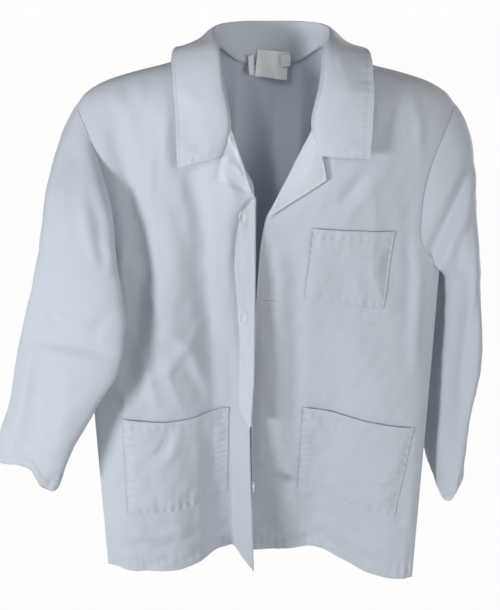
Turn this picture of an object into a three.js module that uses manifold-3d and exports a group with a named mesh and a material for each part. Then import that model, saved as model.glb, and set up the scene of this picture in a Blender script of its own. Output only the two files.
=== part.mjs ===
// Jacket-length lab coat, hanging open as it does on a coat hanger. Millimetres, +Z up.
// X points to the wearer's left, Y to the wearer's back. The shapes are worked out from the
// shoulder line, where y is 0. The whole coat is then moved so that its origin is the middle of
// the back neck seam's underside. Every cloth piece is a thin closed sheet bent out of a box or
// a lathed tube.
import * as THREE from "three";
import { mergeVertices } from "three/addons/utils/BufferGeometryUtils.js";
import Module from "manifold-3d";

// ---- driving dimensions ----
const CLOTH = 1.2; // thickness of a cloth sheet, with its turned edges
const LAYER = 1.8; // distance between the middles of two layers that lie on each other
const SEAM_GAP = 0.9; // half of the gap between two panels at a seam
const HEM_Z = -782;
const TIP_Z = -44; // outer end of the shoulder seam
const UNDERARM_Z = -262;
const CHEST_DEPTH = 46; // front panels stand this far in front of the shoulder line
const BACK_DEPTH = 30;
const SHOULDER_ROUND = 60; // drop over which the cloth rounds off the shoulder line
const SIDE_X = { left: 238, right: 250 }; // half-widths of the body below the arms
const SIDE_HEM_Y = { left: -45, right: -17 }; // how far forward each side seam hangs at the hem
const HEM_BACK_Y = 46;
const DRAPE_TOP_Z = -190; // the folds of the hem begin below this height
const BUTTON_RADIUS = 8.5;
const BUTTON_THICKNESS = 2.4;
const SHANK_LENGTH = 0.9;
const SHANK_GAP = 0.4;
const BUTTON_PITCH = 145;
const TOP_BUTTON_Z = -174;
const BUTTON_COUNT = 4;
const BUTTON_INSET = 10.5; // from the edge to the middle of a button
const SIDE_BUTTON_Z = -614; // the lowest button, where the edge is rolled sideways
const NECK_SEAM_UNDERSIDE = { y: 35, z: -2.4 }; // the coat's origin, from the shoulder line
const BUTTONHOLE = { length: 18, height: 1.4, x: 6, topZ: -155 };

// Outlines, each a list of [key, value] read by straight interpolation.
const SHOULDER_LINE = [[66, 26], [75, 22], [118, 6], [166, -6], [200, -17], [224, -31], [235, TIP_Z]];
const ARMHOLE = [
  [UNDERARM_Z, 236], [-235, 213], [-197, 201], [-160, 201], [-115, 208], [-76, 221], [TIP_Z, 235],
];
const CLOSING_EDGE = { // inner edge of each front, from the hem up to the neck point
  left: [[HEM_Z, -16], [-500, -18], [-240, -8], [-176, 1], [-56, 60], [22, 70]],
  right: [[HEM_Z, -14], [-500, -20], [-400, -16], [-141, -15], [-56, -47], [22, -66]],
};
const HEM_FRONT = [ // how far back or forward each stretch of the front hem hangs
  [-250, -17], [-188, -32], [-142, -30], [-103, -12], [-72, 20], [-50, 26], [-34, 0], [-14, -34],
  [-13, 16], [37, 22], [73, 26], [99, 20], [132, -8], [179, -39], [220, -50], [238, -45],
];

// ---- small helpers ----
const V = (x, y, z) => new THREE.Vector3(x, y, z);
const clamp01 = (t) => Math.min(1, Math.max(0, t));
const smooth = (t) => clamp01(t) ** 2 * (3 - 2 * clamp01(t));
const mix = THREE.MathUtils.lerp;

function read(outline, key) {
  const last = outline.length - 1;
  if (key <= outline[0][0]) return outline[0][1];
  for (let i = 0; i < last; i++) {
    const [a, from] = outline[i];
    const [b, to] = outline[i + 1];
    if (key <= b) return mix(from, to, (key - a) / (b - a));
  }
  return outline[last][1];
}

// Moves each vertex of a unit solid to surface(u, v) plus a step of w along the surface's normal.
// The normal is that of the chords to both sides, so that both faces of a coarse sheet keep apart.
function bend(geometry, coordinates, surface, thickness, { offset = 0, closed = false } = {}) {
  const reach = 0.03;
  const lower = (t) => Math.max(0, t - reach);
  const upper = (t) => Math.min(1, t + reach);
  const place = geometry.attributes.position;
  const point = V(0, 0, 0);
  for (let i = 0; i < place.count; i++) {
    const [u, v, w] = coordinates(point.fromBufferAttribute(place, i));
    const [before, after] = closed ? [u - reach, u + reach] : [lower(u), upper(u)];
    const alongU = surface(after, v).sub(surface(before, v));
    const alongV = surface(u, upper(v)).sub(surface(u, lower(v)));
    const normal = alongU.cross(alongV).normalize();
    const middle = surface(u, v);
    place.setXYZ(i, ...middle.addScaledVector(normal, (w - 0.5) * thickness + offset));
  }
  geometry.computeVertexNormals();
  return geometry;
}

// Splits quad number n of an indexed grid along its other diagonal.
function turnDiagonal(geometry, n) {
  const index = geometry.index.array;
  const corners = [...index.slice(6 * n, 6 * n + 6)];
  const [a, b, d] = corners;
  const c = corners.slice(3).find((i) => i !== b && i !== d);
  index.set([a, b, c, a, c, d], 6 * n);
}

// A sheet of cloth over u and v from 0 to 1; its outer face looks along (du x dv). Both faces are
// split along the same diagonals, so that they stay parallel where the sheet is twisted.
function sheet(surface, columns, rows, offset = 0, thickness = CLOTH) {
  const unit = new THREE.BoxGeometry(1, 1, 1, columns, rows, 1);
  const back = unit.groups[5].start / 6;
  for (let n = 0; n < columns * rows; n++) turnDiagonal(unit, back + n);
  return bend(unit, (p) => [p.x + 0.5, p.y + 0.5, p.z + 0.5], surface, thickness, { offset });
}

// An open tube of cloth: u runs once around, v from one end to the other.
function tube(surface, around, rings) {
  const inner = 1;
  const profile = [];
  for (let i = 0; i <= rings; i++) profile.push(new THREE.Vector2(inner, i / rings));
  for (let i = rings; i >= 0; i--) profile.push(new THREE.Vector2(inner + 1, i / rings));
  profile.push(profile[0].clone());
  profile.reverse();
  const unit = new THREE.LatheGeometry(profile, around);
  for (let i = 0; i < around; i++) {
    for (let j = 1; j <= rings; j++) turnDiagonal(unit, i * (profile.length - 1) + j);
  }
  const coordinates = (p) => {
    const turn = Math.round((Math.atan2(p.x, p.z) / (2 * Math.PI)) * around) / around;
    return [turn < 0 ? turn + 1 : Math.abs(turn), p.y, Math.round(Math.hypot(p.x, p.z)) - inner];
  };
  return bend(unit, coordinates, surface, CLOTH, { closed: true });
}

// ---- shape of the hanging body ----
const shoulderZ = (x) => read(SHOULDER_LINE, Math.abs(x));
const drape = (z) => clamp01((DRAPE_TOP_Z - z) / (DRAPE_TOP_Z - HEM_Z));
const sideOf = (x) => (x < 0 ? "right" : "left");
const crown = (share) => Math.sqrt(Math.max(0, 1 - Math.abs(share) ** 2.6));

function outerX(z, side) {
  if (z > UNDERARM_Z) return read(ARMHOLE, z);
  return mix(236, SIDE_X[side], smooth((UNDERARM_Z - z) / 200));
}

// 0 on the shoulder line, 1 where the cloth hangs clear of it.
function fall(x, z) {
  const drop = clamp01((shoulderZ(x) - z) / SHOULDER_ROUND);
  return Math.sqrt(1 - (1 - drop) ** 2);
}

function frontY(x, z, side) {
  const chest = -CHEST_DEPTH * crown(x / SIDE_X[side]) * fall(x, z);
  const hem = read(HEM_FRONT, side === "left" ? Math.max(x, -13) : Math.min(x, -14));
  return -SEAM_GAP + mix(chest, hem, drape(z));
}

function backY(x, z) {
  const round = crown(x / SIDE_X[sideOf(x)]);
  const neck = 22 * Math.exp(-((x / 75) ** 2) - (z / 150) ** 2);
  const chest = BACK_DEPTH * round * fall(x, z) + neck * fall(x, z - 8);
  const side = mix(SIDE_HEM_Y.right, SIDE_HEM_Y.left, smooth((x + 250) / 488));
  return SEAM_GAP + mix(chest, mix(side, HEM_BACK_Y, round), drape(z));
}

// Rows crowd together near the shoulder, where the cloth curves most.
const rowHeight = (v, top) => mix(top, HEM_Z, (1 - v) ** 2);

function frontSurface(side, edge) {
  const sign = side === "left" ? 1 : -1;
  const [edgeTopZ, edgeTopX] = edge[edge.length - 1];
  return (u, v) => {
    const out = side === "left" ? u : 1 - u;
    const share = Math.sin((out * Math.PI) / 2);
    const inner = read(edge, rowHeight(v, edgeTopZ));
    const x = mix(inner, sign * outerX(rowHeight(v, TIP_Z), side), share);
    const topX = mix(Math.abs(edgeTopX), read(ARMHOLE, TIP_Z), share);
    const z = rowHeight(v, shoulderZ(topX));
    return V(x, frontY(x, Math.min(z, shoulderZ(x)), side), z);
  };
}

function backSurface(u, v) {
  const across = Math.sin((1 - 2 * u) * (Math.PI / 2));
  const side = across < 0 ? "right" : "left";
  const level = rowHeight(v, TIP_Z);
  const x = across * outerX(level, side);
  const neckTop = Math.abs(x) < 66 ? 26 * (Math.abs(x) / 66) ** 2.4 : shoulderZ(x);
  const z = level + (neckTop - TIP_Z) * v ** 6;
  return V(x, backY(x, Math.min(z, neckTop)), z);
}

// A patch whose corners are top left, top right, bottom right and bottom left as seen from the front.
function patchOn(side, corners, gape) {
  const [topLeft, topRight, bottomRight, bottomLeft] = corners;
  return (u, v) => {
    const x = mix(mix(bottomLeft[0], bottomRight[0], u), mix(topLeft[0], topRight[0], u), v);
    const z = mix(mix(bottomLeft[1], bottomRight[1], u), mix(topLeft[1], topRight[1], u), v);
    return V(x, frontY(x, z, side) - gape * Math.sin(Math.PI * u) * v ** 2, z);
  };
}

// ---- sleeves: horizontal sections from the armhole down to the cuff ----
// Each section is [level, x, y, half width, half depth, turn in degrees, fall per mm outwards].
const LEFT_SLEEVE = [
  [0, 219, 0, 0, 0, 0, 0],
  [-280, 263, 6, 25, 52, -14, 0],
  [-340, 266, 8, 26, 58, -20, 0],
  [-420, 267, 10, 26, 60, -22, 0],
  [-560, 270, 12, 24, 56, -20, 0],
  [-640, 283, 8, 21, 50, -6, 0],
];
const RIGHT_SLEEVE = [
  [0, -219, 0, 0, 0, 0, 0],
  [-285, -244, -50, 58, 18, 14, 0],
  [-330, -258, -47, 73, 22, 15, 0],
  [-390, -273, -47, 75, 24, 15, -0.1],
  [-470, -306, -46, 65, 25, 13, 0.1],
  [-592, -350, -44, 48, 24, 8, -0.5],
];
const SLEEVE_START_GAP = 7.5; // between the armhole edge of the body and the sleeve
const SLEEVE_LIFT = { left: 2.5, right: 18 }; // how far each sleeve's front stands off its panel
const RIGHT_WRAP = THREE.MathUtils.degToRad(75);

function armholePoint(sign, angle) {
  const middle = (TIP_Z + UNDERARM_Z) / 2;
  const half = (TIP_Z - UNDERARM_Z) / 2;
  const z = middle + half * Math.cos(angle);
  const x = read(ARMHOLE, z);
  const onFront = Math.sin(angle) > 0;
  const depth = onFront ? frontY(sign * x, z, sideOf(sign)) - SLEEVE_LIFT[sideOf(sign)] : backY(sign * x, z);
  return V(sign * (x + SLEEVE_START_GAP), depth * clamp01(2.6 * Math.abs(Math.sin(angle))), z);
}

// wrap carries the underarm round to the back of the ring, for a sleeve that hangs before the body.
function sleeveSurface(sign, sections, wrap) {
  const armholeMiddle = (TIP_Z + UNDERARM_Z) / 2;
  const count = sections.length - 1;
  const column = (k) => new THREE.SplineCurve(sections.map((s, i) => new THREE.Vector2(i / count, s[k])));
  const columns = [1, 2, 3, 4, 5, 6].map(column);
  const levels = new THREE.SplineCurve(
    sections.map((s, i) => new THREE.Vector2(i / count, i ? s[0] : armholeMiddle)),
  );
  return (u, v) => {
    const angle = 2 * Math.PI * (sign > 0 ? u : 1 - u);
    const [x, y, halfWidth, halfDepth, turn, slant] = columns.map((c) => c.getPoint(v).y);
    const ringAngle = angle + (wrap * (1 - Math.cos(angle))) / 2;
    const outwards = halfWidth * Math.cos(ringAngle);
    const forwards = halfDepth * Math.sin(ringAngle);
    const t = THREE.MathUtils.degToRad(turn);
    const dx = sign * (outwards * Math.cos(t) - forwards * Math.sin(t));
    const dy = -(outwards * Math.sin(-t) + forwards * Math.cos(t));
    const ring = V(x + dx, y + dy, levels.getPoint(v).y + slant * dx);
    return armholePoint(sign, angle).lerp(ring, Math.sin(clamp01(v * count) * Math.PI / 2));
  };
}

// ---- collar ----
const COLLAR_ROLL = [
  [-56, -55, -99], [-46, -54, -56], [-53, -52, -14], [-57, -32, 24], [-62, 12, 42], [-34, 36, 46],
  [6, 42, 46], [48, 36, 46], [75, 12, 42], [70, -32, 24], [66, -52, -14], [57, -54, -56],
  [69, -55, -99],
];
const COLLAR_OUTER = [
  [-110, -60, -111], [-110, -58, -56], [-112, -48, -12], [-111, -14, 24], [-86, 34, 14],
  [-42, 52, 4], [6, 56, 2], [54, 52, 4], [98, 34, 14], [122, -14, 22], [126, -48, -12],
  [126, -58, -54], [125, -60, -99],
];
const UNDER_COLLAR_OFFSET = 3.7; // clears the flats of the top collar where both curve round the neck
const NECK_SEAM = [[-62, -6, 26], [-50, 22, 12], [0, 34, 2], [50, 22, 12], [64, -6, 26]];
const STAND_TOP = [[-58, -2, 36], [-41, 25, 39], [4, 35, 40], [54, 25, 39], [70, -2, 36]];

const curve = (points) => new THREE.CatmullRomCurve3(points.map((p) => V(...p)));

function between(lower, upper) {
  const low = curve(lower);
  const high = curve(upper);
  return (u, v) => low.getPoint(u).lerp(high.getPoint(u), v);
}

// ---- lapels and the turned-back front edge ----
// Corners: top of the roll line, notch, tip, break of the roll line.
const LEFT_LAPEL = [[58, -68], [69, -107], [74, -127], [4, -172]];
const RIGHT_LAPEL = [[-45, -68], [-56, -108], [-61, -128], [-19, -143]];
const LAPEL_LIFT = 4.5;
const STRIP = { topZ: -152, bottomZ: -500, width: 24, lift: 8.5 }; // room for buttons underneath

function lapelSurface(side, [roll, notch, tip, end]) {
  return (u, v) => {
    const out = side === "left" ? u : 1 - u;
    const x = mix(mix(end[0], roll[0], v), mix(tip[0], notch[0], v), out);
    const z = mix(mix(end[1], roll[1], v), mix(tip[1], notch[1], v), out);
    return V(x, frontY(x, z, side) - LAPEL_LIFT, z);
  };
}

// The strip folded outwards along the right front, widest a third of the way down.
function stripSurface(u, v) {
  const z = mix(STRIP.bottomZ, STRIP.topZ, v);
  const width = STRIP.width * Math.sin(Math.PI * mix(0.12, 0.86, v)) ** 0.8;
  const x = read(CLOSING_EDGE.right, z) - 1.5 - width * (1 - u);
  return V(x, frontY(x, z, "right") - STRIP.lift, z);
}

// The left front swings open about a line from the break of its lapel to the hem.
const LEFT_HINGE = { top: [8, -186], bottom: [40, HEM_Z] };
const HINGE_GAP = 1.2;
const HINGE_LINE = [[HEM_Z, LEFT_HINGE.bottom[0]], [LEFT_HINGE.top[1], LEFT_HINGE.top[0]]];

// ---- materials ----
const cloth = (color, roughness) => new THREE.MeshStandardMaterial({ color, roughness, metalness: 0 });
const MATERIALS = {
  poplin: cloth(0xeef1f5, 0.86),
  facing: cloth(0xf3f5f8, 0.84),
  label: cloth(0xf8f8f6, 0.6),
  button: cloth(0xf4f5f2, 0.35),
  thread: cloth(0xfafafa, 0.9),
};

const coat = new THREE.Group();

function add(name, geometry, material, parent = coat) {
  const mesh = new THREE.Mesh(geometry, MATERIALS[material]);
  mesh.name = name;
  parent.add(mesh);
  return mesh;
}

// ---- booleans ----
const wasm = await Module();
wasm.setup();

function toSolid(geometry) {
  const bare = geometry.index ? geometry.toNonIndexed() : geometry.clone();
  bare.deleteAttribute("normal");
  bare.deleteAttribute("uv");
  const merged = mergeVertices(bare, 1e-3);
  return new wasm.Manifold(new wasm.Mesh({
    numProp: 3,
    vertProperties: merged.attributes.position.array,
    triVerts: new Uint32Array(merged.index.array),
  }));
}

function cut(geometry, tools) {
  const solid = tools.reduce((left, tool) => left.subtract(toSolid(tool)), toSolid(geometry));
  const mesh = solid.getMesh();
  const result = new THREE.BufferGeometry();
  result.setAttribute("position", new THREE.BufferAttribute(mesh.vertProperties, 3));
  result.setIndex(new THREE.BufferAttribute(mesh.triVerts, 1));
  result.computeVertexNormals();
  return result;
}

function buttonholeCutters() {
  const cutters = [];
  for (let i = 1; i < BUTTON_COUNT; i++) {
    const slot = new THREE.BoxGeometry(BUTTONHOLE.length, 90, BUTTONHOLE.height);
    cutters.push(slot.translate(BUTTONHOLE.x, -20, BUTTONHOLE.topZ - i * BUTTON_PITCH));
  }
  return cutters;
}

// ---- body panels ----
function buildBody() {
  const hinge = [
    [HEM_Z, LEFT_HINGE.bottom[0] + HINGE_GAP], [LEFT_HINGE.top[1], LEFT_HINGE.top[0] + HINGE_GAP],
    [-56, 60], [22, 70],
  ];
  add("back_panel", sheet(backSurface, 18, 16), "poplin");
  add("left_front_panel", sheet(frontSurface("left", hinge), 10, 16), "poplin");
  add("right_front_panel", sheet(frontSurface("right", CLOSING_EDGE.right), 12, 16), "poplin");
}

// ---- left front edge: a long triangle of panel cloth with its facing behind it ----
function buildLeftEdge() {
  const surface = (u, v) => {
    const z = mix(HEM_Z, LEFT_HINGE.top[1] - 6, v);
    const x = mix(read(CLOSING_EDGE.left, z), read(HINGE_LINE, z) - HINGE_GAP, u);
    return V(x, frontY(x, z, "left"), z);
  };
  const facingSurface = (u, v) => surface(mix(0.03, 0.97, u), mix(0.01, 0.985, v));
  add("left_front_edge", cut(sheet(surface, 4, 14), buttonholeCutters()), "poplin");
  add("left_front_facing", cut(sheet(facingSurface, 4, 14, -LAYER), buttonholeCutters()), "facing");
}

function buildLapels() {
  for (const [side, corners] of [["left", LEFT_LAPEL], ["right", RIGHT_LAPEL]]) {
    const surface = lapelSurface(side, corners);
    add(`${side}_lapel`, sheet(surface, 4, 5), "poplin");
    add(`${side}_lapel_facing`, sheet(surface, 4, 5, LAYER), "facing");
  }
}

// ---- right front edge: turned back strip, buttons hidden beneath it and threads showing ----
function buildRightStrip() {
  add("right_front_edge", sheet(stripSurface, 3, 12), "poplin");
  add("right_front_facing", sheet(stripSurface, 3, 12, LAYER), "facing");
}

function roundButton() {
  const r = BUTTON_RADIUS;
  const t = BUTTON_THICKNESS;
  const profile = [[0, 0], [r - 1, 0], [r, 0.8], [r, t - 0.8], [r - 1, t], [r - 2.6, t - 0.6], [0, t - 0.6]];
  return new THREE.LatheGeometry(profile.map(([x, y]) => new THREE.Vector2(x, y)), 20);
}

// Buttons sit on the outer side of the right front. Where its edge is folded outwards that side
// faces the panel, so those buttons hang beneath the strip. The lowest one is on the rolled edge
// itself and faces sideways.
function buildButtons() {
  for (let i = 0; i < BUTTON_COUNT; i++) {
    const sideways = i === BUTTON_COUNT - 1;
    const z = sideways ? SIDE_BUTTON_Z : TOP_BUTTON_Z - i * BUTTON_PITCH;
    const x = read(CLOSING_EDGE.right, z) - (sideways ? CLOTH / 2 : BUTTON_INSET);
    const slope = (frontY(x + 4, z, "right") - frontY(x - 4, z, "right")) / 8;
    const spot = new THREE.Group();
    spot.position.set(x, frontY(x, z, "right") + (sideways ? 1 : -STRIP.lift), z);
    spot.rotation.z = sideways ? -Math.PI / 2 : Math.atan(slope);
    coat.add(spot);
    const base = sideways ? CLOTH : CLOTH / 2;
    const button = add(`button_${i + 1}`, roundButton(), "button", spot);
    button.position.y = base + SHANK_LENGTH + 2 * SHANK_GAP;
    const shank = new THREE.CylinderGeometry(1.2, 1.2, SHANK_LENGTH, 10);
    const thread = add(`button_thread_${i + 1}`, shank, "thread", spot);
    thread.position.y = base + SHANK_LENGTH / 2 + SHANK_GAP;
  }
}

// ---- sleeves, pockets, collar, labels ----
function buildSleeves() {
  add("left_sleeve", tube(sleeveSurface(1, LEFT_SLEEVE, 0), 16, 14), "poplin");
  add("right_sleeve", tube(sleeveSurface(-1, RIGHT_SLEEVE, RIGHT_WRAP), 16, 14), "poplin");
}

const CHEST_POCKET = [[60, -192], [166, -200], [160, -312], [53, -298]];
const LEFT_HIP_POCKET = [[58, -486], [216, -502], [202, -664], [54, -650]];
const RIGHT_HIP_POCKET = [[-204, -492], [-53, -484], [-58, -654], [-208, -670]];

function buildPockets() {
  const pocket = (name, side, corners, lift, gape) =>
    add(name, sheet(patchOn(side, corners, gape), 8, 6, lift), "poplin");
  pocket("chest_pocket", "left", CHEST_POCKET, 2.4, 3);
  pocket("left_hip_pocket", "left", LEFT_HIP_POCKET, 5, 4);
  pocket("right_hip_pocket", "right", RIGHT_HIP_POCKET, 5, 8);
}

function buildCollar() {
  add("top_collar", sheet(between(COLLAR_ROLL, COLLAR_OUTER), 26, 4), "poplin");
  const underside = between(COLLAR_ROLL, COLLAR_OUTER);
  const trimmed = (u, v) => underside(u, mix(0.07, 0.97, v));
  add("under_collar", sheet(trimmed, 26, 4, -UNDER_COLLAR_OFFSET), "poplin");
  add("collar_stand", sheet(between(NECK_SEAM, STAND_TOP), 14, 2), "poplin");
}

function buildLabels() {
  const label = add("neck_label", new THREE.BoxGeometry(40, 0.8, 32), "label");
  label.position.set(8, 24, -12);
  label.rotation.set(THREE.MathUtils.degToRad(-10), THREE.MathUtils.degToRad(6), 0);
  const tab = add("size_tab", new THREE.BoxGeometry(6, 0.8, 24), "label");
  tab.position.set(-18, 27, -6);
}

// Flat seam allowances under the shoulder line: a hanger's arms bear on them.
function buildShoulderSeams() {
  const from = V(96, 0, 0);
  const to = V(196, 0, -27);
  const length = from.distanceTo(to);
  for (const [side, sign] of [["left", 1], ["right", -1]]) {
    const seam = add(`${side}_shoulder_seam`, new THREE.BoxGeometry(length, 16, CLOTH), "poplin");
    seam.position.set(sign * (from.x + to.x) / 2, 0, (from.z + to.z) / 2 - 1);
    seam.rotation.y = sign * Math.atan2(from.z - to.z, to.x - from.x);
  }
}

// The pressed seam allowance inside the back neck, which bears on a peg.
function buildNeckSeam() {
  const seam = add("back_neck_seam", new THREE.BoxGeometry(40, 10, CLOTH), "poplin");
  seam.position.set(0, NECK_SEAM_UNDERSIDE.y, NECK_SEAM_UNDERSIDE.z + CLOTH / 2);
}

buildBody();
buildLeftEdge();
buildLapels();
buildRightStrip();
buildButtons();
buildSleeves();
buildPockets();
buildCollar();
buildLabels();
buildShoulderSeams();
buildNeckSeam();
coat.position.set(0, -NECK_SEAM_UNDERSIDE.y, -NECK_SEAM_UNDERSIDE.z);

export default coat;
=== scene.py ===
"""Looks for the lab coat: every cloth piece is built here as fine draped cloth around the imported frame.

Shape functions work in millimetres along the frame's axes (X to the wearer's left, Y to the back, Z up),
from a point on the shoulder line. finish_mesh and at_frame move their results to the frame's own origin.
"""

import math

import bpy
import numpy as np
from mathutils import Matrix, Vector


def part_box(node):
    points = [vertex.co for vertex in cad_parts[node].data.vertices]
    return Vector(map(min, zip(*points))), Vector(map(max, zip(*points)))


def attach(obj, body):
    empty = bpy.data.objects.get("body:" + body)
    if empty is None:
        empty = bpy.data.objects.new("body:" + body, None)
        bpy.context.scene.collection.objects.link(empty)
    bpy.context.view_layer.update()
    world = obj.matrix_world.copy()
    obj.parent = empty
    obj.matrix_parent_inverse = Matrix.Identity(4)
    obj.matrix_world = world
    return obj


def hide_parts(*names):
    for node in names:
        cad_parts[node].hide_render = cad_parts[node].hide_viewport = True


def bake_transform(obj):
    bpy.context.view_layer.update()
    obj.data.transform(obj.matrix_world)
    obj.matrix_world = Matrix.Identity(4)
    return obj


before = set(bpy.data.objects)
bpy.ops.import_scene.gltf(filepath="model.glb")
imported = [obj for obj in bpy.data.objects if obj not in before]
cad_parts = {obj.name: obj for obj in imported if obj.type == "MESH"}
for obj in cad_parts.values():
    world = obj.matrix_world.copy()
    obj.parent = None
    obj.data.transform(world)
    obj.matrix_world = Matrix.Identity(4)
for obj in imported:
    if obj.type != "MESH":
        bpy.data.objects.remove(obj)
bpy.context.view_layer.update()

MM = 0.001
PI = math.pi
CLOTH = 0.7  # mm, one layer of poplin with its finish
HEM_BAND = 17.0  # mm from the hem's edge to its stitching
STITCH_PITCH, STITCH_LENGTH = 3.3, 2.5
SHAPE_ORIGIN = np.array([0.0, -35.0, 2.4])  # where the shape functions' origin lies in the frame, mm
UP, FORWARD = np.array([0.0, 0.0, 1.0]), np.array([0.0, -1.0, 0.0])


def at_frame(point):
    """A point of the shape functions, given in metres, in the frame."""
    return tuple(np.array(point, float) + SHAPE_ORIGIN * MM)


def node_box(name):
    low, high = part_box(name)
    return np.array(low) / MM - SHAPE_ORIGIN, np.array(high) / MM - SHAPE_ORIGIN


def node_points(name):
    return np.array([v.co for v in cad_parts[name].data.vertices], float) / MM - SHAPE_ORIGIN


def corner(name, sx, sz):
    """The node's vertex furthest along (sx, sz), as (x, z)."""
    p = node_points(name)
    return p[np.argmax(sx * p[:, 0] + sz * p[:, 2])][[0, 2]]


def middle_of(name):
    p = node_points(name)
    return (p.min(0) + p.max(0)) / 2


def put_on(obj, body, *nodes):
    """Fixes a piece to a body, in place of the CAD nodes named."""
    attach(obj, body)
    if nodes:
        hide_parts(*nodes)


def blend_about(obj, flap, start, end, *nodes):
    """Bakes a piece's transform into its mesh and hides the CAD nodes named; the flap and the two points in
    mm are not used.
    """
    start, end = (at_frame(np.array(point) * MM) for point in (start, end))
    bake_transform(obj)
    if nodes:
        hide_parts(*nodes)


# ---- small maths ----
def smooth(t):
    t = np.clip(t, 0, 1)
    return t * t * (3 - 2 * t)


def mix(a, b, t):
    return a + (b - a) * t


def outline(points):
    """A smooth function through (key, value) points with ascending keys that never overshoots them."""
    k, v = np.array(points, float).T
    secant = np.diff(v) / np.diff(k)
    before, after = secant[:-1], secant[1:]
    same = before * after > 0
    total = np.where(same, before + after, 1.0)
    slope = np.concatenate([secant[:1], np.where(same, 2 * before * after / total, 0.0), secant[-1:]])
    return hermite(k, v, slope)


def spline(points):
    """A smooth function through (key, value) points with evenly spaced ascending keys."""
    k, v = np.array(points, float).T
    return hermite(k, v, np.gradient(v, k))


def hermite(k, v, slope):
    """The cubic through (k, v) with the given slopes, held at its end values."""

    def at(x):
        x = np.clip(np.asarray(x, float), k[0], k[-1])
        i = np.clip(np.searchsorted(k, x) - 1, 0, len(k) - 2)
        h = k[i + 1] - k[i]
        t = (x - k[i]) / h
        a = (1 + 2 * t) * (1 - t) ** 2 * v[i] + t * (1 - t) ** 2 * h * slope[i]
        return a + t * t * (3 - 2 * t) * v[i + 1] + t * t * (t - 1) * h * slope[i + 1]

    return at


def waves(seed, scale, count=7):
    """A smooth random field over (x, z), about -1 to 1, with features near scale mm."""
    rng = np.random.default_rng(seed)
    angle = rng.uniform(0, PI, count)
    pace = 2 * PI / (scale * rng.uniform(0.7, 1.9, count))
    phase = rng.uniform(0, 2 * PI, count)

    def at(x, z, stretch=1.0):
        total = 0
        for a, p, f in zip(angle, pace, phase):
            total = total + np.sin((x * math.cos(a) + z * math.sin(a) / stretch) * p + f)
        return total / math.sqrt(count)

    return at


def grid_of(x, y, z):
    return np.stack(np.broadcast_arrays(x, y, z), -1)


def grid_axes(columns, rows, low=0):
    """Parameters across (low to 1) and along (0 to 1) a grid."""
    return np.linspace(low, 1, columns)[:, None], np.linspace(0, 1, rows)[None, :]


def dent(away, width):
    """1 on a line of stitching and falling off on both sides of it."""
    return np.exp(-((away / width) ** 2))


def unit(v):
    return v / np.maximum(np.linalg.norm(v, axis=-1, keepdims=True), 1e-9)


def ridges(x, z, folds, gain=1.0):
    """The sum of soft folds, each a (polyline, height, width)."""
    return sum(ridge(x, z, line, gain * height, width) for line, height, width in folds)


def ridge(x, z, line, height, width):
    """A soft ridge (or, with a negative height, a valley) along a polyline, fading at its ends."""
    best = np.full(np.broadcast(x, z).shape, 1e9)
    fade = np.zeros_like(best)
    steps = [math.dist(a, b) for a, b in zip(line, line[1:])]
    whole, gone = sum(steps), 0.0
    for (x0, z0), (x1, z1), step in zip(line, line[1:], steps):
        t = np.clip(((x - x0) * (x1 - x0) + (z - z0) * (z1 - z0)) / step ** 2, 0, 1)
        d = np.hypot(x - x0 - t * (x1 - x0), z - z0 - t * (z1 - z0))
        share = (gone + t * step) / whole
        fade = np.where(d < best, np.sin(PI * np.clip(mix(0.08, 0.92, share), 0, 1)) ** 0.7, fade)
        best = np.minimum(best, d)
        gone += step
    return height * fade * np.exp(-((best / width) ** 2))


# ---- shape of the hanging body, as in the CAD ----
HEM_Z, TIP_Z, UNDERARM_Z, EDGE_TOP_Z = -782.0, -44.0, -262.0, 22.0
TIP_X, NECK_X = 235.0, 66.0
CHEST_DEPTH, BACK_DEPTH, SHOULDER_ROUND, HEM_BACK_Y = 46.0, 30.0, 60.0, 46.0
DRAPE_TOP_Z = -190.0
SIDE_X = {"left": 238.0, "right": 250.0}
SIDE_HEM_Y = {"left": -45.0, "right": -17.0}
SIGN = {"left": 1, "right": -1}
shoulder_line = outline([(66, 26), (75, 22), (118, 6), (166, -6), (200, -17), (224, -31), (235, TIP_Z)])
armhole_x = outline([
    (UNDERARM_Z, 236), (-235, 213), (-197, 201), (-160, 201), (-115, 208), (-76, 221), (TIP_Z, 235),
])
EDGE = {
    "left": outline([(HEM_Z, -16), (-500, -18), (-240, -8), (-176, 1), (-165, 8), (-56, 60), (22, 70)]),
    "right": outline([
        (HEM_Z, -14), (-500, -20), (-400, -16), (-141, -15), (-120, -24), (-56, -47), (22, -66),
    ]),
}
HEM_FRONT = {
    "right": outline([
        (-250, -17), (-188, -32), (-142, -30), (-103, -12), (-72, 20), (-50, 26), (-34, 0), (-14, -34),
    ]),
    "left": outline([(-14, 16), (37, 22), (73, 26), (99, 20), (132, -8), (179, -39), (220, -50), (238, -45)]),
}


def shoulder_z(x):
    return shoulder_line(np.abs(x))


def drape(z):
    return np.clip((DRAPE_TOP_Z - z) / (DRAPE_TOP_Z - HEM_Z), 0, 1)


def crown(share):
    return np.sqrt(np.clip(1 - np.abs(share) ** 2.6, 0, 1))


def fall(x, z):
    drop = np.clip((shoulder_z(x) - z) / SHOULDER_ROUND, 0, 1)
    return np.sqrt(1 - (1 - drop) ** 2)


def outer_x(z, side):
    below = mix(236, SIDE_X[side], smooth((UNDERARM_Z - z) / 200))
    return np.where(z > UNDERARM_Z, armhole_x(z), below)


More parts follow.
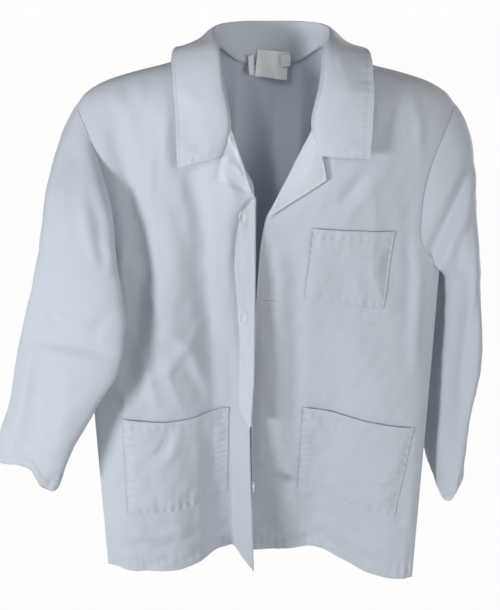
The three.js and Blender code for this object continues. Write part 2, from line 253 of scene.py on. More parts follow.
FOLDS = {  # (polyline, height, width) on each front; a positive height stands out
    "right": [
        ([(-187, -60), (-176, -130), (-163, -200), (-160, -255), (-178, -345), (-200, -430)], -7, 17),
        ([(-122, -60), (-124, -155), (-122, -240), (-132, -350)], 3.5, 24),
        ([(-88, -110), (-82, -200), (-78, -300), (-74, -400), (-70, -470)], -7, 22),
        ([(-49, -120), (-50, -240), (-48, -400)], 3, 14),
        ([(-130, -350), (-100, -372), (-83, -440)], 2.6, 10),
        ([(-158, -430), (-130, -404), (-102, -362), (-88, -335)], 2.4, 9),
        ([(-112, -395), (-96, -440), (-92, -470)], -2.6, 9), ([(-186, -36), (-180, -16)], 2.0, 6),
        ([(-170, -40), (-166, -14)], -1.6, 6), ([(-152, -38), (-150, -12)], 1.4, 6),
        ([(-110, -130), (-98, -180), (-96, -230)], 1.6, 9),
        ([(-222, -700), (-180, -712), (-120, -700)], 1.8, 9),
        ([(-196, -150), (-190, -230), (-196, -300)], 2.4, 9),
        ([(-140, -70), (-146, -160), (-140, -250)], 1.6, 7),
        ([(-66, -150), (-66, -260), (-60, -360)], 1.8, 7),
        ([(-212, -440), (-196, -470), (-202, -520)], 2.0, 9),
        ([(-160, -735), (-120, -724), (-92, -705)], -2.0, 9),
    ],
    "left": [
        ([(126, -122), (108, -145), (87, -165)], -3.2, 10),
        ([(140, -128), (122, -152), (105, -176)], 2.2, 10),
        ([(186, -165), (190, -230), (196, -330)], -3.0, 10),
        ([(204, -230), (208, -330), (212, -420)], 2.6, 10),
        ([(40, -250), (44, -345), (48, -450), (44, -560)], -4.0, 15),
        ([(100, -330), (112, -380), (118, -440)], 4.0, 42),
        ([(160, -372), (140, -402), (124, -420)], 1.2, 8), ([(-6, -600), (14, -596), (34, -600)], 1.6, 4.5),
        ([(10, -618), (36, -628), (60, -652)], -2.0, 8), ([(160, -26), (146, -58), (134, -92)], -2.4, 8),
        ([(176, -30), (186, -60), (194, -110)], 1.8, 8), ([(96, -6), (128, -30), (146, -60)], 2.0, 8),
        ([(110, -720), (160, -738), (196, -724)], 2.0, 10),
        ([(64, -712), (110, -702), (140, -690)], -1.8, 10), ([(22, -700), (36, -740), (40, -775)], 1.8, 9),
    ],
}
FOLD_GAIN = 1.35
broad, crease_field, fine, hem_crumple = waves(3, 150), waves(11, 70), waves(23, 26), waves(71, 46)


def crumple(x, z):
    """Soft overall unevenness of washed poplin."""
    sharp = 1 - np.abs(crease_field(x, z, 1.7))
    return 1.5 * broad(x, z, 2.2) + 1.3 * sharp * np.abs(broad(z, x)) + 0.38 * fine(x, z, 1.4)


def seam_pucker(along, away, pitch=12.0, reach=9.0, height=0.5):
    """Small gathers that a row of stitching at away = 0 pulls into the cloth."""
    phase = 1.7 * np.sin(along / 31.0) + 0.9 * np.sin(along / 13.7 + 1.0)
    strength = 0.6 + 0.4 * np.sin(along / 47.0 + 2.0)
    return height * strength * np.sin(2 * PI * along / pitch + phase) * np.exp(-np.abs(away) / reach)


def hem_relief(along, up):
    """The turned hem: a thicker band with a dent along its stitching."""
    band = 0.9 * smooth((HEM_BAND + 1 - up) / 2)
    return band - 0.9 * dent(up - HEM_BAND, 1.6) + seam_pucker(along, up - HEM_BAND, 13, 11, 1.5)


def relief(x, z, side):
    total = crumple(x, z) + ridges(x, z, FOLDS[side], FOLD_GAIN)
    total = total + 1.5 * hem_crumple(x, z, 0.6) * np.exp((HEM_Z - z) / 70)
    along_edge = smooth((np.abs(x - EDGE[side](z))) / 16) * 0.8 + 0.2
    near_side = smooth((outer_x(z, side) - np.abs(x)) / 30)
    return total * fall(x, z) * near_side * along_edge + hem_relief(x, z - HEM_Z)


def front_y(x, z, side):
    chest = -CHEST_DEPTH * crown(x / SIDE_X[side]) * fall(x, z)
    return -0.5 + mix(chest, HEM_FRONT[side](x), drape(z)) - relief(x, z, side)


BACK_FOLDS = [
    ([(-60, -60), (-74, -300), (-84, -600), (-90, -775)], 5, 30),
    ([(10, -90), (4, -300), (0, -600), (-6, -775)], -4.5, 26),
    ([(74, -60), (86, -320), (96, -620), (100, -775)], 5, 30),
    ([(150, -120), (160, -400), (166, -775)], -4, 24), ([(-150, -120), (-164, -420), (-172, -775)], -4, 24),
    ([(-34, -6), (-40, -120), (-44, -300)], -11, 12), ([(10, -14), (14, -130), (8, -300)], 10, 14),
    ([(44, -14), (44, -110), (30, -260)], -12, 11), ([(68, -24), (72, -120), (58, -260)], 9, 9),
]
back_broad = waves(41, 170)


def back_relief(x, z):
    total = 1.6 * back_broad(x, z, 2.4) + 0.5 * (1 - np.abs(crease_field(z, x, 1.5)))
    total = total + ridges(x, z, BACK_FOLDS)
    side = np.where(x < 0, outer_x(z, "right"), outer_x(z, "left"))
    return total * fall(x, z) * smooth((side - np.abs(x)) / 34) + hem_relief(x + 5, z - HEM_Z)


def back_y(x, z):
    half = np.where(x < 0, SIDE_X["right"], SIDE_X["left"])
    rounded = crown(x / half)
    neck = 22 * np.exp(-((x / 75) ** 2) - (z / 150) ** 2)
    chest = BACK_DEPTH * rounded * fall(x, z) + neck * fall(x, z - 8)
    side = mix(SIDE_HEM_Y["right"], SIDE_HEM_Y["left"], smooth((x + 250) / 488))
    return 0.5 + mix(chest, mix(side, HEM_BACK_Y, rounded), drape(z)) + back_relief(x, z)


# ---- mesh building ----
def normals_of(p, closed=False):
    """Unit normals of a grid of points, along (d rows) x (d columns)."""
    du = np.roll(p, -1, 0) - np.roll(p, 1, 0) if closed else np.gradient(p, axis=0)
    dv = np.gradient(p, axis=1)
    return unit(np.cross(du, dv))


def facing_front(n, row, column):
    """The normals, turned over if the one at (row, column) looks to the back."""
    return n if n[row, column, 1] < 0 else -n


def ring_faces(rings, around, first=0, flip=False):
    """Quads between successive closed rings of vertices."""
    faces = []
    for k in range(rings - 1):
        for i in range(around):
            a, b = (first + k * around + j % around for j in (i, i + 1))
            faces.append((a, a + around, b + around, b) if flip else (a, b, b + around, a + around))
    return faces


def finish_mesh(name, verts, faces, look, uv=None):
    """A mesh from arrays of points in mm; a look is a material and the slot that it fills, and the slot is
    not used.
    """
    material, slot = look
    verts = np.concatenate(verts)
    mesh = bpy.data.meshes.new(name)
    mesh.from_pydata(((verts + SHAPE_ORIGIN) * MM).tolist(), [], faces)
    mesh.polygons.foreach_set("use_smooth", [True] * len(mesh.polygons))
    if uv is not None:
        layer = mesh.uv_layers.new(name="cloth")
        loops = np.zeros(len(mesh.loops), int)
        mesh.loops.foreach_get("vertex_index", loops)
        layer.data.foreach_set("uv", (uv[loops] * MM).ravel())
    mesh.materials.append(material)
    mesh.update()
    obj = bpy.data.objects.new(name, mesh)
    bpy.context.scene.collection.objects.link(obj)
    return obj


def cloth_sheet(name, p, look, thick=CLOTH, closed=False, flip=False):
    """A sheet with real thickness and rim over a grid of points (rows, columns, 3)."""
    n = normals_of(p, closed)
    if flip:
        n = -n
    half = np.broadcast_to(np.asarray(thick, float), p.shape[:2])[..., None] / 2
    rows, cols = p.shape[:2]
    verts = [(p + n * half).reshape(-1, 3), (p - n * half).reshape(-1, 3)]
    index = np.arange(rows * cols).reshape(rows, cols)
    steps = [np.linalg.norm(np.diff(p, axis=a), axis=2).mean(1 - a) for a in (0, 1)]
    lengths = [np.concatenate([[0], np.cumsum(step)]) for step in steps]
    uv = np.stack(np.meshgrid(*lengths, indexing="ij"), -1).reshape(-1, 2)
    ahead = np.roll(index, -1, 0) if closed else index[1:]
    here = index if closed else index[:-1]
    quads = np.stack([here[:, :-1], ahead[:, :-1], ahead[:, 1:], here[:, 1:]], -1).reshape(-1, 4)
    if flip:
        quads = quads[:, ::-1]
    back = rows * cols
    faces = [tuple(q) for q in quads.tolist()]
    faces += [tuple(q) for q in (quads[:, ::-1] + back).tolist()]
    rims = [index[:, 0][::-1], index[:, -1]]
    if not closed:
        rims += [index[0], index[-1][::-1]]
    for rim in rims:
        ring = np.append(rim, rim[0]) if closed else rim
        for a, b in zip(ring[:-1].tolist(), ring[1:].tolist()):
            faces.append((a, b, b + back, a + back) if flip else (b, a, a + back, b + back))
    return finish_mesh(name, verts, faces, look, np.concatenate([uv, uv])), n


def along_grid(p, n, rows, cols, lift):
    """Points on a grid at fractional rows and columns, lifted along the normals."""
    r = np.clip(np.asarray(rows, float), 0, p.shape[0] - 1.001)
    c = np.clip(np.asarray(cols, float), 0, p.shape[1] - 1.001)
    r, c = np.broadcast_arrays(r, c)
    i, j = r.astype(int), c.astype(int)
    fr, fc = (r - i)[:, None], (c - j)[:, None]

    def read(g):
        near = g[i, j] * (1 - fr) * (1 - fc) + g[i + 1, j] * fr * (1 - fc)
        return near + g[i, j + 1] * (1 - fr) * fc + g[i + 1, j + 1] * fr * fc

    return read(p) + read(n) * lift, read(n)


stitch_runs = {}


def stitch(group, points, normals, radius=0.33, pitch=STITCH_PITCH, length=STITCH_LENGTH):
    """Adds a row of thread stitches along a polyline to a group, which becomes one piece."""
    step = np.linalg.norm(np.diff(points, axis=0), axis=1)
    along = np.concatenate([[0], np.cumsum(step)])
    count = int(along[-1] / pitch)
    for k in range(count):
        a, b = (np.array([np.interp(s, along, points[:, axis]) for axis in range(3)])
                for s in (k * pitch, k * pitch + length))
        up = normals[int(np.interp(k * pitch + length / 2, along, np.arange(len(along))))]
        side = unit(np.cross(b - a, up)) * radius
        up = up * radius
        m0, m1 = mix(a, b, 0.22), mix(a, b, 0.78)
        ring = [a - up * 0.5, m0 + side, m0 + up, m0 - side, m1 + side, m1 + up, m1 - side, b - up * 0.5]
        stitch_runs.setdefault(group, []).append(ring)


def stitch_on(group, grid, normals, rows, cols, lift, **sizes):
    """A row of stitches on a sheet, at fractional rows and columns of its grid."""
    stitch(group, *along_grid(grid, normals, rows, cols, lift), **sizes)


STITCH_FACES = [
    (0, 2, 1), (0, 3, 2), (1, 2, 5, 4), (2, 3, 6, 5), (4, 5, 7), (5, 6, 7), (0, 1, 3), (1, 4, 6, 3),
    (4, 7, 6),
]


def build_stitches(group):
    runs = stitch_runs[group]
    faces = [tuple(i + 8 * k for i in f) for k in range(len(runs)) for f in STITCH_FACES]
    return finish_mesh(group, runs, faces, THREAD)


# ---- materials ----
def new_material(name):
    material = bpy.data.materials.new(name)
    material.use_nodes = True
    tree = material.node_tree
    tree.nodes.clear()
    return material, tree


def node(tree, kind, inputs=None, **settings):
    made = tree.nodes.new("ShaderNode" + kind)
    for key, value in settings.items():
        setattr(made, key, value)
    for key, value in (inputs or {}).items():
        if isinstance(value, bpy.types.NodeSocket):
            tree.links.new(value, made.inputs[key])
        else:
            made.inputs[key].default_value = value
    return made


def noise(tree, vector, scale, detail, **more):
    return node(tree, "TexNoise", {"Vector": vector, "Scale": scale, "Detail": detail, **more}).outputs["Fac"]


def ranged(tree, value, low, high, **more):
    return node(tree, "MapRange", {"Value": value, "To Min": low, "To Max": high, **more}).outputs[0]


def bumped(tree, height, strength, distance, **more):
    inputs = {"Height": height, "Strength": strength, "Distance": distance, **more}
    return node(tree, "Bump", inputs).outputs[0]


def poplin_material(name, colour, shade, translucent, rough=0.82):
    """Plain-woven poly-cotton: fine weave, slubs, uneven wash and a little light through it."""
    material, tree = new_material(name)
    uv = node(tree, "UVMap", uv_map="cloth").outputs["UV"]
    place = node(tree, "TexCoord").outputs["Object"]
    yarns = [node(tree, "TexWave", {"Vector": uv, "Scale": 330.0, "Distortion": 0.6, "Detail": 1.0},
                  wave_type="BANDS", bands_direction=direction, wave_profile="SIN").outputs["Fac"]
             for direction in ("X", "Y")]
    weave = node(tree, "Math", {0: yarns[0], 1: yarns[1]}, operation="MULTIPLY").outputs[0]
    stretch = node(tree, "Mapping", {"Vector": uv, "Scale": (1.0, 7.0, 1.0)}).outputs[0]
    slub = noise(tree, stretch, 160.0, 3.0)
    wash = noise(tree, place, 9.0, 5.0, Roughness=0.6)
    tone = ranged(tree, wash, 0.0, 0.55, **{"From Min": 0.3, "From Max": 0.7})
    base = node(tree, "MixRGB", {"Fac": tone, "Color1": (*colour, 1), "Color2": (*shade, 1)}).outputs[0]
    thread_tone = node(tree, "MixRGB", {"Fac": 0.06, "Color1": base, "Color2": slub}, blend_type="OVERLAY")
    soft = bumped(tree, noise(tree, place, 95.0, 4.0), 0.22, 0.0012)
    ribs = bumped(tree, slub, 0.12, 0.0004, Normal=soft)
    surface = bumped(tree, weave, 0.3, 0.00012, Normal=ribs)
    cloth = node(tree, "BsdfPrincipled", {
        "Base Color": thread_tone.outputs[0], "Roughness": ranged(tree, slub, rough - 0.07, rough + 0.08),
        "Normal": surface, "Sheen Weight": 0.18, "Sheen Roughness": 0.5, "Specular IOR Level": 0.25,
    })
    light = node(tree, "BsdfTranslucent", {"Color": (*colour, 1), "Normal": surface})
    both = node(tree, "MixShader", {0: translucent, 1: cloth.outputs[0], 2: light.outputs[0]})
    tree.links.new(both.outputs[0], node(tree, "OutputMaterial").inputs[0])
    return material


def plain_material(name, colour, rough, noise_scale, bump_strength, sheen=0.0, coat=0.0):
    material, tree = new_material(name)
    grain = noise(tree, node(tree, "TexCoord").outputs["Object"], noise_scale, 3.0)
    shade = [c * 0.9 for c in colour]
    tint = node(tree, "MixRGB", {"Fac": grain, "Color1": (*colour, 1), "Color2": (*shade, 1)}).outputs[0]
    shader = node(tree, "BsdfPrincipled", {
        "Base Color": tint, "Roughness": ranged(tree, grain, rough - 0.06, rough + 0.08),
        "Normal": bumped(tree, grain, bump_strength, 0.0003), "Sheen Weight": sheen, "Coat Weight": coat,
    })
    tree.links.new(shader.outputs[0], node(tree, "OutputMaterial").inputs[0])
    return material


POPLIN = poplin_material("white_poplin", (0.715, 0.765, 0.83), (0.675, 0.725, 0.795), 0.2), "poplin"
FACING = poplin_material("poplin_facing", (0.72, 0.775, 0.84), (0.68, 0.735, 0.805), 0.12), "facing"
THREAD = plain_material("white_thread", (0.80, 0.82, 0.85), 0.7, 900.0, 0.5, sheen=0.2), "thread"
BUTTON = plain_material("button_plastic", (0.76, 0.77, 0.76), 0.32, 60.0, 0.05, coat=0.25), "button"
# Near-black painted shade for the buttonhole slits and the button holes, where their gaps fall dark.
PAINTED_HOLE_SHADE = plain_material("stitched_hole_shadow", (0.16, 0.18, 0.21), 0.8, 200.0, 0.1)
LABEL = plain_material("label_satin", (0.90, 0.92, 0.94), 0.45, 700.0, 0.12, sheen=0.3), "label"


# ---- body ----
def front_grid(side, columns=120, rows=330):
    """Rows run from the side to the closing edge, columns from the hem to the shoulder."""
    u, v = grid_axes(columns, rows)
    share = np.sin(u * PI / 2)
    low = (1 - v) ** 1.4
    inner = EDGE[side](mix(EDGE_TOP_Z, HEM_Z, low))
    x = mix(inner, SIGN[side] * outer_x(mix(TIP_Z, HEM_Z, low), side), share)
    top_x = mix(np.abs(EDGE[side](EDGE_TOP_Z)), TIP_X, share)
    z = mix(shoulder_z(top_x), HEM_Z, low)
    y = front_y(x, np.minimum(z, shoulder_z(x)), side)
    return np.stack([x, y, z], -1)


def back_grid(columns=200, rows=300):
    u, v = grid_axes(columns, rows)
    across = np.sin((2 * u - 1) * PI / 2)
    low = (1 - v) ** 1.4
    level = mix(TIP_Z, HEM_Z, low)
    half = np.where(across < 0, outer_x(level, "right"), outer_x(level, "left"))
    x = across * half
    neck = 26 * (np.minimum(np.abs(x), NECK_X) / NECK_X) ** 2.4
    top = np.where(np.abs(x) < NECK_X, neck, shoulder_z(x))
    z = level + (top - TIP_Z) * v ** 6
    y = back_y(x, np.minimum(z, top))
    return np.stack([x, y, z], -1)


def bend_left_edge(obj, *nodes):
    """Works out a fold line from the left lapel's break to the hem and hands it to blend_about, which bakes
    the piece's transform and hides the CAD nodes named.
    """
    top, low = np.array([8.0, 0.0, -186.0]), np.array([40.0, 0.0, HEM_Z])
    run = unit(low - top)
    across = np.array([-run[2], 0.0, run[0]]) * 14
    middle = (top + low) / 2
    blend_about(obj, "left_front_fold", middle + across, middle - across, *nodes)


def stitch_hem(group, grid, n, count, sample):
    """A row of stitches above a panel's hem, at a height read off the grid's row number sample."""
    column = np.interp(HEM_Z + HEM_BAND, grid[sample, :, 2], np.arange(grid.shape[1]))
    stitch_on(group, grid, n, np.linspace(0, grid.shape[0] - 1, count), column, CLOTH / 2)


def build_body():
    grid = back_grid()
    back, n = cloth_sheet("coat_back", grid, POPLIN)
    put_on(back, "torso", "back_panel")
    stitch_hem("torso_stitching", grid, n, 260, 100)
    grid = front_grid("right")
    front, n = cloth_sheet("right_front", grid, POPLIN, flip=True)
    put_on(front, "torso", "right_front_panel")
    stitch_hem("torso_stitching", grid, n, 220, 60)
    grid = front_grid("left")
    front, n = cloth_sheet("left_front", grid, POPLIN)
    bend_left_edge(front, "left_front_panel", "left_front_edge")
    stitch_hem("left_edge_stitching", grid, n, 220, 60)


build_body()


# ---- sleeves ----
# level, x, y, half width, half depth, turn, slant of each horizontal ring
SLEEVE_RINGS = {
    "left": [
        (-280, 263, 6, 25, 52, -14, 0), (-340, 266, 8, 26, 58, -20, 0), (-420, 267, 10, 26, 60, -22, 0),
        (-560, 270, 12, 24, 56, -20, 0), (-640, 283, 8, 21, 50, -6, 0),
    ],
    "right": [
        (-285, -250, -50, 66, 19, 14, 0), (-330, -259, -47, 75, 22, 15, 0),
        (-390, -273, -47, 75, 24, 15, -0.1), (-470, -306, -46, 65, 25, 13, 0.1),
        (-592, -350, -44, 48, 24, 8, -0.5),
    ],
}
SLEEVE_WRAP = {"left": 0.0, "right": math.radians(75)}
SLEEVE_FOLDS = {
    "right": [
        ([(-301, -285), (-277, -333), (-305, -352)], -2.6, 6),
        ([(-312, -356), (-260, -352), (-210, -357)], -3.4, 7),
        ([(-312, -372), (-262, -368), (-214, -374)], 2.2, 8),
        ([(-317, -362), (-340, -450), (-368, -535)], 3.6, 9),
        ([(-300, -380), (-322, -460), (-346, -545)], -4.0, 14),
        ([(-219, -141), (-209, -180), (-206, -232)], -3.0, 8),
        ([(-228, -153), (-222, -200), (-214, -236)], 2.4, 8),
        ([(-204, -196), (-198, -220), (-202, -246)], 2.0, 7),
        ([(-250, -70), (-258, -130), (-262, -190)], 3.0, 12),
        ([(-236, -62), (-246, -100), (-270, -150)], -2.2, 8),
        ([(-262, -110), (-276, -160), (-284, -215)], 2.4, 8),
        ([(-232, -90), (-240, -150), (-236, -215)], -2.0, 9),
        ([(-296, -300), (-250, -318), (-216, -312)], 2.0, 7),
        ([(-330, -420), (-296, -432), (-262, -424)], -1.8, 7),
        ([(-350, -500), (-330, -520), (-300, -522)], 1.8, 8),
        ([(-288, -150), (-276, -176), (-270, -200)], -1.8, 6),
        ([(-205, -300), (-222, -322), (-230, -350)], -2.2, 8),
        ([(-262, -400), (-280, -470), (-300, -540)], 2.4, 13),
        ([(-300, -560), (-318, -590), (-326, -605)], -2.4, 7),
    ],
    "left": [
        ([(262, -118), (246, -155), (231, -195), (218, -250)], -9, 9),
        ([(270, -130), (256, -180), (240, -230), (228, -290)], 4, 9),
        ([(252, -210), (262, -300), (268, -380), (266, -470)], -5, 7),
        ([(270, -170), (276, -260), (278, -360), (284, -470), (288, -545)], 3.4, 6),
        ([(281, -300), (280, -380), (288, -480)], -2.6, 5),
        ([(238, -300), (246, -380), (246, -470)], -4, 7), ([(256, -450), (266, -545), (272, -600)], 3.2, 7),
        ([(258, -300), (252, -330), (262, -350)], 2.0, 6),
    ],
}
CUFF_DROP = {  # how far the cuff's edge hangs below its level, by distance from its middle
    "right": outline([(-60, 36), (-34, 38), (-9, 42), (12, 36), (25, 6), (40, -4), (56, 18)]),
    "left": outline([(-22, 38), (-14, 13), (-6, 2), (2, 6), (8, 20), (14, 34), (24, 40)]),
}
CAP_TANGENTS = {  # directions in which the sleeve leaves the armhole: shoulder, front, back, underarm
    "left": [(0.74, 0.0, -0.67), (0.80, -0.10, -0.60), (0.80, 0.10, -0.60), (0.5, 0.0, -0.87)],
    "right": [(-0.62, 0.0, -0.78), (0.42, -0.86, -0.30), (-0.76, 0.25, -0.60), (-0.5, 0.1, -0.87)],
}
CAP_PULL = {"left": 0.62, "right": 0.95}
SLEEVE_LENGTH = 737.5  # mm along the cloth from armhole to cuff, with its folds
sleeve_crumple, sleeve_fine = waves(57, 80), waves(61, 24)


def armhole_loop(side, angle):
    sign = SIGN[side]
    middle, half = (TIP_Z + UNDERARM_Z) / 2, (TIP_Z - UNDERARM_Z) / 2
    z = middle + half * np.cos(angle)
    x = sign * armhole_x(z)
    on_front = np.sin(angle) > 0
    depth = np.where(on_front, front_y(x, z, side) - 0.6, back_y(x, z) + 0.6)
    near_seam = np.clip(3 * np.abs(np.sin(angle)), 0, 1)
    return np.stack([x + sign * 0.4, depth * near_seam, z], -1)


def sleeve_ring(side, angle, t):
    sign = SIGN[side]
    rings = np.array(SLEEVE_RINGS[side], float)
    keys = np.linspace(0, 1, len(rings))
    level, x, y, half_width, half_depth, turn, slant = [
        spline(list(zip(keys, rings[:, k])))(t) for k in range(7)
    ]
    bent = angle + SLEEVE_WRAP[side] * (1 - np.cos(angle)) / 2
    out, forward = half_width * np.cos(bent), half_depth * np.sin(bent)
    turn = np.radians(turn)
    dx = sign * (out * np.cos(turn) - forward * np.sin(turn))
    dy = -(-out * np.sin(turn) + forward * np.cos(turn))
    drop = CUFF_DROP[side](dx) * smooth((t - 0.72) / 0.28)
    return np.stack([x + dx, y + dy, level + slant * dx * (1 - smooth((t - 0.6) / 0.4)) + drop], -1)


def sleeve_grid(side, around=150, cap=70, rings=190):
    """Rows go round the arm; columns run down the cap from the armhole, then down the arm to the cuff."""
    angle = np.linspace(0, 2 * PI, around, endpoint=False)[:, None]
    start = armhole_loop(side, angle)
    first = sleeve_ring(side, angle, np.zeros_like(angle))
    arrive = unit(sleeve_ring(side, angle, np.full_like(angle, 0.03)) - first)
    c, s = np.cos(angle)[..., None], np.sin(angle)[..., None]
    top, front, rear, low = (np.array(t) for t in CAP_TANGENTS[side])
    turned = 0.5 - 0.5 * np.abs(s) ** 0.6
    middle = np.where(s > 0, mix(front, rear, turned), mix(rear, front, turned))
    leave = middle + (top - middle) * np.clip(c, 0, 1) ** 1.5 + (low - middle) * np.clip(-c, 0, 1) ** 2
    leave = unit(leave) * CAP_PULL[side]
    size = np.linalg.norm(first - start, axis=2, keepdims=True)
    t = np.linspace(0, 1, cap, endpoint=False)[None, :, None]
    top_part = (1 + 2 * t) * (1 - t) ** 2 * start + t * t * (3 - 2 * t) * first
    top_part = top_part + t * (1 - t) ** 2 * leave * size + t * t * (t - 1) * arrive * size
    below = sleeve_ring(side, angle, np.linspace(0, 1, rings)[None, :])
    p = np.concatenate([top_part, below], axis=1)
    n = normals_of(p, closed=True) * SIGN[side]
    x, z = p[..., 0], p[..., 2]
    facing = np.clip(-n[..., 1] * 1.6, 0, 1) if side == "right" else np.clip(0.35 - n[..., 1], 0, 1)
    wave = 1.4 * sleeve_crumple(x + 1.3 * p[..., 1], z, 1.8) + 0.3 * sleeve_fine(x, z)
    column = np.arange(p.shape[1])[None, :]
    from_cuff = (cap + rings - 1 - column) * SLEEVE_LENGTH / (cap + rings)
    total = (ridges(x, z, SLEEVE_FOLDS[side]) * facing + wave) * smooth(column / 16)
    return p + n * (total + hem_relief(x * 1.2 + p[..., 1], from_cuff))[..., None]


def build_sleeves():
    for side in ("left", "right"):
        sign = SIGN[side]
        grid = sleeve_grid(side)
        sleeve, n = cloth_sheet(f"{side}_sleeve_cloth", grid, POPLIN, closed=True, flip=sign < 0)
        looped, loop_n = np.concatenate([grid, grid[:1]]), np.concatenate([n, n[:1]])
        rows = np.linspace(0, grid.shape[0] - 0.01, 300)
        stitch_on(f"{side}_sleeve_stitching", looped, loop_n, rows, grid.shape[1] - 7.5, CLOTH / 2)
        blend_about(sleeve, f"{side}_arm", (sign * 215, 0, -100), (sign * 300, 0, -160), f"{side}_sleeve")


build_sleeves()


# ---- collar ----
def smooth_curve(points, count):
    """A smooth curve through 3-D control points, sampled evenly by index."""
    p = np.array(points, float)
    t = np.linspace(0, len(p) - 1, count)
    return np.stack([spline(list(zip(range(len(p)), p[:, a])))(t) for a in range(3)], -1)


COLLAR_ROLL = [
    (-56, -55, -99), (-46, -54, -56), (-53, -52, -14), (-57, -32, 24), (-62, 12, 42), (-34, 36, 46),
    (6, 42, 46), (48, 36, 46), (75, 12, 42), (70, -32, 24), (66, -52, -14), (57, -54, -56), (69, -55, -99),
]
COLLAR_OUTER = [
    (-110, -60, -111), (-110, -58, -56), (-112, -48, -12), (-111, -14, 24), (-86, 34, 14), (-42, 52, 4),
    (6, 56, 2), (54, 52, 4), (98, 34, 14), (122, -14, 22), (126, -48, -12), (126, -58, -54), (125, -60, -99),
]
NECK_SEAM = [
    (-50, -49, -90), (-43, -49, -56), (-50, -44, -14), (-55, -24, 16), (-56, 8, 22), (-34, 34, 2),
    (4, 42, -5), (40, 34, 2), (66, 8, 22), (66, -24, 16), (62, -44, -14), (54, -49, -56), (63, -49, -90),
]


COLLAR_STAND = 0.3  # share of the collar's cloth between the neck seam and the roll
COLLAR_FALL, COLLAR_LENGTH = 66.0, 640.0  # mm, from the roll to the outer edge and along it
COLLAR_FOLDS = [
    ([(-104, -86), (-80, -92), (-62, -80)], 1.4, 7), ([(118, -84), (98, -80), (74, -88)], 1.6, 7),
    ([(-98, -20), (-80, -30), (-64, -26)], 1.2, 8), ([(80, -10), (98, -20), (116, -18)], 1.2, 8),
]


def collar_grid(columns=240, rows=46):
    """Rows follow the neck; columns run from the neck seam over the roll to the outer edge."""
    roll, outer, seam = (smooth_curve(c, columns)[:, None] for c in (COLLAR_ROLL, COLLAR_OUTER, NECK_SEAM))
    w = np.linspace(0, 1, rows)[None, :, None]
    inside = np.clip(w / COLLAR_STAND, 0, 1)
    outside = np.clip((w - COLLAR_STAND) / (1 - COLLAR_STAND), 0, 1)
    away = roll - np.array([4.0, 10.0, 0.0])
    away[..., 2] = 0
    p = mix(mix(seam, roll, np.sin(inside * PI / 2)), outer, outside)
    bulge = np.sin(PI * outside ** 0.6) * 4.0
    return p + (UP * 0.5 + unit(away)) * bulge + UP * 3.0 * dent(w - COLLAR_STAND, 0.09)


def build_collar():
    grid = collar_grid()
    x, y, z = np.moveaxis(grid, -1, 0)
    n = facing_front(normals_of(grid), 60, 30)
    ends, w = grid_axes(*grid.shape[:2])
    from_end = np.minimum(ends, 1 - ends) * COLLAR_LENGTH
    from_outer = (1 - w) * COLLAR_FALL
    edge = np.minimum(from_outer, from_end)
    along = np.where(from_end < from_outer, from_outer * 1.3, ends * COLLAR_LENGTH)
    raised = -0.5 * dent(edge - 5, 1.5) + seam_pucker(along, edge - 5, 11, 6, 0.5)
    raised = raised + 0.7 * crumple(x + 400, z + 1.5 * y) + ridges(x, z, COLLAR_FOLDS) * (y < 0)
    grid = grid + n * (raised * smooth((w - COLLAR_STAND) / 0.15))[..., None]
    collar, n = cloth_sheet("collar_cloth", grid, POPLIN, thick=1.3)
    n = facing_front(n, 60, 30)
    put_on(collar, "torso", "top_collar", "under_collar", "collar_stand")
    last_row, last = grid.shape[0] - 1, grid.shape[1] - 1
    inset = last * (1 - 5.0 / COLLAR_FALL * 0.7)
    stitch_on("torso_stitching", grid, n, np.linspace(3, last_row - 3, 400), inset, 0.65)
    columns = np.linspace(last * 0.34, inset, 60)
    for row in (2.2, last_row - 2.2):
        stitch_on("torso_stitching", grid, n, row, columns, 0.65)
    stitch_on("torso_stitching", grid, -n, np.linspace(50, last_row - 50, 300), 3.0, 0.65)


build_collar()


# ---- leaves that fold outwards: lapels and the turned right front edge ----
LEAF_SPREAD = 1.15  # packs the first columns of a leaf closer together, round its roll


def leaf_rows(columns, share):
    """The fractional column of a folded leaf that lies at a share of its width."""
    return np.clip(share, 0, 1) ** (1 / LEAF_SPREAD) * (columns - 1)


def folded_leaf(roll, out_dir, width, roll_depth, side, columns=40):
    """Cloth that leaves a roll line, turns round it and lies back over the front.

    roll is (rows, 2) of x and z, out_dir (rows, 2) a unit direction away from it and width the distance
    to the free edge in each row.
    """
    turn = PI * roll_depth / 2
    s = np.linspace(0, 1, columns) ** LEAF_SPREAD
    s = s[:, None] * (width[None, :] + turn)
    rolling = np.clip(s / turn, 0, 1)
    inward = 1.6 * np.sin(PI * rolling)
    forward = roll_depth * (1 - np.cos(PI * rolling)) / 2
    flat = np.maximum(s - turn, 0)
    x = roll[None, :, 0] + out_dir[None, :, 0] * (flat - inward)
    z = roll[None, :, 1] + out_dir[None, :, 1] * (flat - inward)
    return grid_of(x, front_y(x, z, side) - forward, z), flat


LAPEL_ROLL, STRIP_ROLL = 4.2, 8.4  # mm, how thick each roll is from back to front


def lapel(side, corners, folds):
    """corners: top of the roll line, notch, tip, break, each (x, z)."""
    top, notch, tip, brk = (np.array(c, float) for c in corners)
    v = np.linspace(0, 1, 90)[:, None]
    roll = mix(brk, top, v)
    low = mix(brk, tip, smooth(2 * v) * 0.35 + 2 * v * 0.65)
    free = np.where(v < 0.5, low, mix(tip, notch, 2 * v - 1))
    across = free - roll
    width = np.linalg.norm(across, axis=1)
    direction = across / np.maximum(width, 1e-6)[:, None]
    direction[0] = direction[1]
    grid, flat = folded_leaf(roll, direction, width, LAPEL_ROLL, side)
    x, z = grid[..., 0], grid[..., 2]
    edge = width[None, :] - flat
    raised = 1.2 * smooth(flat / 20) - 0.4 * dent(edge - 5, 1.4) + seam_pucker(z, edge - 5, 11, 6, 0.28)
    raised = raised + ridges(x, z, folds)
    grid[..., 1] -= raised * smooth(flat / 6)
    return grid, edge


